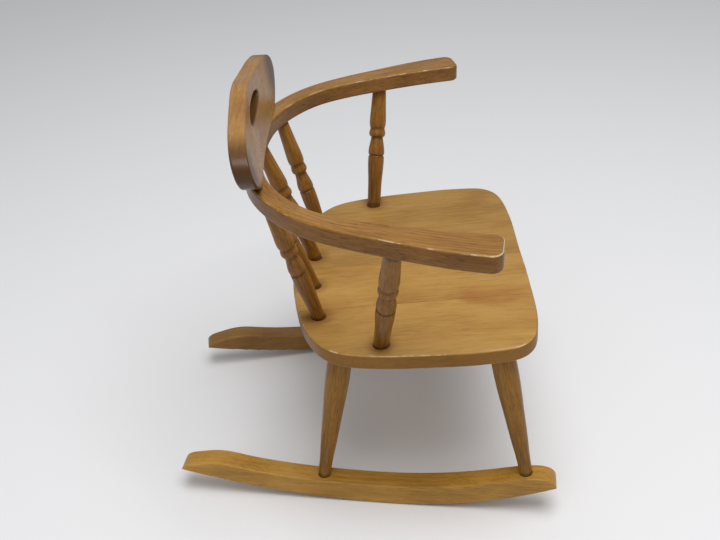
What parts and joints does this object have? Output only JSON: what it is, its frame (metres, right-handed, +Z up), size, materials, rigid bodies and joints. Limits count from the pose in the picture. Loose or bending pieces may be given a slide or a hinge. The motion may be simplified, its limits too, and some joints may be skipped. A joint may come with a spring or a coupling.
{
  "type": "child's rocking chair",
  "caption": "Low wooden child's rocking chair: flat seat, bent arm bow on turned spindles, crest board with a hand-hole, splayed legs on curved rockers.",
  "frame": {"origin": "on the floor, in the middle of the chair's outer size in X and Y", "axes": "+X to the sitter's left, +Y to the back of the chair, +Z up from the floor"},
  "size_m": [0.5414, 0.467, 0.4914],
  "materials": {
    "seat_wood": "honey-stained edge-glued boards under satin lacquer",
    "rail_wood": "honey-brown stain under satin lacquer, worn pale along the edges",
    "turned_wood": "darker red-brown stain under satin lacquer",
    "rocker_wood": "honey-brown stain under satin lacquer, rubbed along the rolling edge",
    "dowel_wood": "bare wood, glued"
  },
  "bodies": {
    "root": {"seat_board_1": "seat_wood", "seat_board_2": "seat_wood", "seat_board_3": "seat_wood", "seat_board_4": "seat_wood", "arm_bow": "rail_wood", "crest_rail": "rail_wood", "crest_dowel_1": "dowel_wood", "crest_dowel_2": "dowel_wood", "crest_dowel_3": "dowel_wood", "back_spindle_1": "turned_wood", "back_spindle_2": "turned_wood", "back_spindle_3": "turned_wood", "back_spindle_4": "turned_wood", "arm_post_left": "turned_wood", "arm_post_right": "turned_wood", "leg_front_left": "turned_wood", "leg_front_right": "turned_wood", "leg_rear_left": "turned_wood", "leg_rear_right": "turned_wood", "rocker_left": "rocker_wood", "rocker_right": "rocker_wood"}
  },
  "joints": []
}
